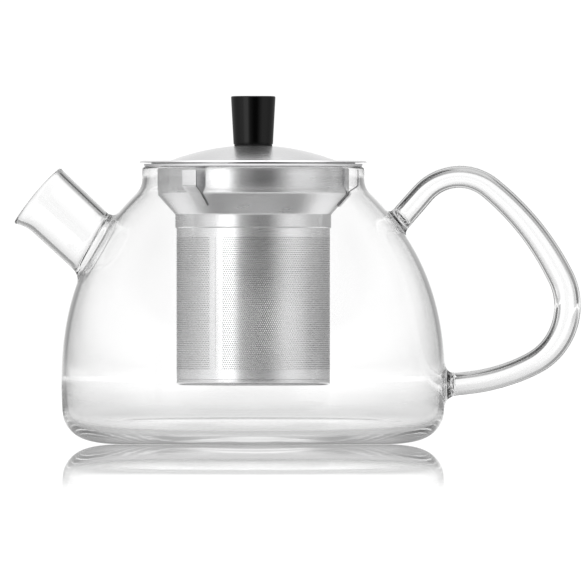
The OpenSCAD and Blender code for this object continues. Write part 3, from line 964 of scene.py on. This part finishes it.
def dome_z(r):
    return LID_TOP + DOME_H - BALL_R + math.sqrt(BALL_R ** 2 - r * r)


SEAT_R = KNOB_LOW_R + 0.7
SEAT_Z = dome_z(SEAT_R)
crown = [(BORE_R, SEAT_Z, 0), (SEAT_R, SEAT_Z, 1.2)]
crown += [(r, dome_z(r), 0) for r in np.linspace(SEAT_R + 1.5, DOME_R - 2, 20)]
crown += [(DOME_R, LID_TOP, 2.2), (LID_R - 0.45, LID_TOP, 0.1), (LID_R, LID_LOW + 0.12, 0.05),
          (LID_R, LID_LOW, 0.05), (DOME_R + 0.2, LID_LOW, 2.2)]
crown += [(r, dome_z(r) - LID_T, 0) for r in np.linspace(DOME_R - 2, SEAT_R + 1.5, 20)]
crown += [(SEAT_R, SEAT_Z - LID_T, 1.2), (BORE_R, SEAT_Z - LID_T, 0)]
shell = lathe_piece("lid_shell", dense(rounded(crown, 5), 2.0), LID_STEEL, "lid",
                    ("lid_plate",))
# The lid's rim gets the painted highlight.
paint_rim_highlight(shell, PAINTED_HIGHLIGHT_STEEL, lambda r, z: r > LID_R - 0.6)

RING_GAP, RING_LOW, RING_FLANGE = 0.7, 104.5, 3.7
RING_R = COLLAR_R - STEEL_T - RING_GAP
ring_line = rounded([(RING_R + RING_FLANGE, LID_LOW, 0.1), (RING_R - STEEL_T, LID_LOW, 0.3),
                     (RING_R - STEEL_T, RING_LOW, 0.15), (RING_R, RING_LOW, 0.15), (RING_R, FLANGE_TOP, 0.25),
                     (RING_R + RING_FLANGE, FLANGE_TOP, 0.1)], 3)
lathe_piece("lid_ring", dense(ring_line, 2.0), STEEL, "lid", ("lid_locating_ring",))

KNOB_Z = SEAT_Z + PAD_T
INSERT_R, INSERT_TOP = 3.5, KNOB_Z + 10.0
knob_line = [(0, INSERT_TOP, 0), (INSERT_R, INSERT_TOP, 0), (INSERT_R, KNOB_Z, 0), (KNOB_LOW_R, KNOB_Z, 0.35),
             (KNOB_TOP_R, KNOB_Z + KNOB_TALL, 0.6), (0, KNOB_Z + KNOB_TALL, 0)]
lathe_piece("knob_body", dense(rounded(knob_line, 6, False), 1.2, False), BLACK, "lid", ("knob",),
            n=128, closed=False)
pad_line = rounded([(BORE_R, SEAT_Z, 0.1), (PAD_R, SEAT_Z, 0.2), (PAD_R, KNOB_Z, 0.2),
                    (BORE_R, KNOB_Z, 0.1)], 3)
lathe_piece("knob_pad", dense(pad_line, 2.0), SILICONE, "lid", ("knob_washer",), n=96)
for node, material in (("knob_insert", BRASS), ("knob_screw", SPRING), ("screw_washer", SPRING)):
    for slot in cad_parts[node].material_slots:
        slot.material = material


# ---------------------------------------------------------------- floor, light and camera

def stage_floor():
    """A pale disc that mirrors the pot at a low angle and glows evenly for the camera's own rays; other rays
    see painted light and shadow near the pot. Its far part lets light that was reflected go on.
    """
    size, sides, z = 7.0, 128, -0.00005
    mesh = bpy.data.meshes.new("floor")
    rim = [(size * math.cos(TAU * k / sides), size * math.sin(TAU * k / sides), z) for k in range(sides)]
    mesh.from_pydata(rim, [], [tuple(range(sides))])
    floor = bpy.data.objects.new("floor", mesh)
    bpy.context.scene.collection.objects.link(floor)
    mat, tree, shader = new_material("pale_floor")
    mat.cycles.emission_sampling = "NONE"
    far = tree.from_axis()
    plain, entered, turned, _, _ = tree.travel()

    def by_distance(*stops):
        """Levels at distances from the axis in metres."""
        reach = 5.0
        return tree.ramp(tree.math("MULTIPLY", far, 1 / reach), [(r / reach, v) for r, v in stops])

    # Painted light and shadow in the glow that other rays see. One part is a bright pool round the pot, with a
    # painted contact shadow in a ring under the heel and painted shade under the pot. Another is painted shade
    # near the pot, seen through the glass. The last (under) is a painted dark ring round the pot, seen after a
    # reflection inside a wall.
    painted_pool_and_shadow = by_distance((0, 0.5), (0.045, 0.5), (0.052, 0.1), (0.076, 0.1), (0.11, 1.0), (0.2, 1.0), (0.45, 0.1))
    painted_shade_through_glass = by_distance((0, 0.55), (0.1, 0.55), (0.3, 0.7), (0.6, 0.84), (1.2, 0.95), (3, 1.02))
    under = by_distance((0, 0.72), (0.12, 0.45), (0.16, 0.2), (0.3, 0.2), (0.6, 0.5), (1.5, 1.0))
    level = tree.mixed("FLOAT", painted_pool_and_shadow, (plain, 1.0), (entered, painted_shade_through_glass), (turned, under))
    matt = tree.add("BsdfDiffuse", {"Color": (0.15, 0.15, 0.15, 1)})
    glow = tree.add("Emission", {"Strength": level})
    pale = tree.add("AddShader", {0: matt.outputs[0], 1: glow.outputs[0]})
    polish = tree.add("BsdfGlossy", {"Roughness": 0.0, "Color": (1, 1, 1, 1)})
    low_angle = tree.add("Fresnel", {"IOR": 1.03}).outputs[0]
    gloss = tree.math("MULTIPLY", low_angle, tree.step(far, 1.0, 2.9, 1.0, 0.0))
    near = tree.add("MixShader", {"Fac": gloss, 1: pale.outputs[0], 2: polish.outputs[0]})
    reflected = tree.math("SUBTRACT", 1.0, tree.math("ADD", plain, turned))
    past = tree.math("MULTIPLY", reflected, tree.step(far, 0.45, 0.9, 0.0, 1.0))
    whole = tree.add("MixShader", {"Fac": past, 1: near.outputs[0], 2: tree.add("BsdfTransparent").outputs[0]})
    tree.nodes.remove(shader)
    tree.fill(tree.nodes["Material Output"], {"Surface": whole.outputs[0]})
    mesh.materials.append(mat)


def studio():
    """Soft light from all round, in rings of (degrees, level): 0 is the front, 90 is +X and 180 is behind."""
    world = bpy.data.worlds.new("studio")
    bpy.context.scene.world = world
    tree = Tree(world)
    for node in list(tree.nodes):
        tree.nodes.remove(node)
    x, y, z = tree.add("SeparateXYZ", {0: tree.add("TexCoord").outputs["Generated"]}).outputs
    turn = tree.math("ARCTAN2", x, tree.math("MULTIPLY", y, -1.0))
    turn = tree.math("ADD", tree.math("DIVIDE", turn, TAU), 0.5)

    def ring(*stops):
        return tree.ramp(turn, [(degrees / 360 + 0.5, v) for degrees, v in stops])

    def rising(low, *parts):
        """low near the horizon, then each (layer, start, end) in turn. Heights are sines of the elevation."""
        shares = ((tree.step(z, start, end, 0.0, 1.0), layer) for layer, start, end in parts)
        return tree.mixed("RGBA", low, *shares)

    # What the outer surfaces mirror
    level = ring((-180, 1.05), (-173, 1.05), (-166, 0.35), (-150, 0.38), (-136, 0.5), (-112, 0.56), (-93, 0.7),
                 (-76, 1.0), (-58, 1.3), (-46, 2.15), (-30, 2.15), (-24, 1.0), (-16, 0.4), (-6, 0.2), (4, 0.05),
                 (20, 0.05), (28, 0.25), (40, 0.7), (53, 1.1), (73, 1.0), (97, 0.6), (130, 0.42), (152, 0.38),
                 (166, 0.38), (173, 1.05), (180, 1.05))
    above = ring((-180, 1.0), (-172, 1.0), (-160, 0.7), (-120, 0.6), (-92, 0.7), (-60, 1.1), (-45, 1.9),
                 (-28, 1.9), (-20, 0.3), (20, 0.25), (35, 0.5), (50, 1.0), (75, 1.0), (95, 0.65), (120, 0.5),
                 (160, 0.7), (172, 1.0), (180, 1.0))
    around = rising(level, (above, 0.1, 0.3), ((1.5, 1.5, 1.5, 1), 0.68, 0.85))

    # What is seen through the glass: white screens with grey gaps, and a darker ceiling on the spout's side
    stops = []
    for k in range(-4, 5):
        if k > -4:
            stops += [(45 * k - 16, 0.5 if k < 1 else 0.65), (45 * k - 11, 1.05)]
        if k < 4:
            stops += [(45 * k + 11, 1.05), (45 * k + 16, 0.5 if k < 0 else 0.65)]
    screens = ring(*stops)
    low = ring((-180, 0.72), (-174, 0.66), (-160, 0.3), (-140, 0.08), (-90, 0.1), (0, 0.5), (90, 0.2),
               (140, 0.15), (160, 0.35), (174, 0.66), (180, 0.72))
    eaves = ring((-180, 0.5), (-172, 0.2), (-168, 0.06), (-158, 0.06), (-100, 0.2), (-6, 0.1), (6, 0.3),
                 (150, 0.3), (162, 0.35), (180, 0.5))
    ceiling = ring((-180, 0.5), (-172, 0.45), (-162, 0.04), (-100, 0.05), (-60, 0.3), (0, 0.5), (100, 0.6),
                   (134, 0.5), (139, 0.05), (152, 0.05), (158, 0.5), (180, 0.5))
    zenith = ring((-180, 0.55), (-172, 0.5), (-162, 0.04), (-90, 0.05), (-60, 0.4), (0, 0.6), (180, 0.6))
    upper = (eaves, 0.14, 0.24), (ceiling, 0.34, 0.44), (zenith, 0.56, 0.64)
    through = rising(screens, *upper)
    inside_wall = rising(screens, (low, 0.004, 0.03), *upper)
    solid = tree.ramp(tree.math("ADD", z, 0.1), [(0.0, 0.9), (0.16, 0.85), (0.4, 0.12), (0.9, 0.1)])

    _, entered, turned, thick, own = tree.travel()
    shown = tree.mixed("RGBA", around, (entered, through), (turned, inside_wall), (thick, solid),
                       (own, (1.05, 1.05, 1.05, 1)))
    view = tree.add("Background", {"Color": shown})
    tree.add("OutputWorld", {"Surface": view.outputs[0]})


def camera():
    """A long lens that looks along +Y, a little over the middle of the pot."""
    data = bpy.data.cameras.new("camera")
    data.sensor_width = 36
    data.lens = 1600
    data.clip_start, data.clip_end = 0.5, 200
    cam = bpy.data.objects.new("camera", data)
    bpy.context.scene.collection.objects.link(cam)
    cam.location = (0.0157, -10.4, 0.0606)
    cam.rotation_mode = "QUATERNION"
    cam.rotation_quaternion = Vector((0, 1, 0)).to_track_quat("-Z", "Y")
    bpy.context.scene.camera = cam


stage_floor()
studio()
camera()
bpy.context.scene.view_settings.view_transform = "Standard"
paths = bpy.context.scene.cycles
paths.max_bounces = paths.glossy_bounces = paths.transmission_bounces = 64
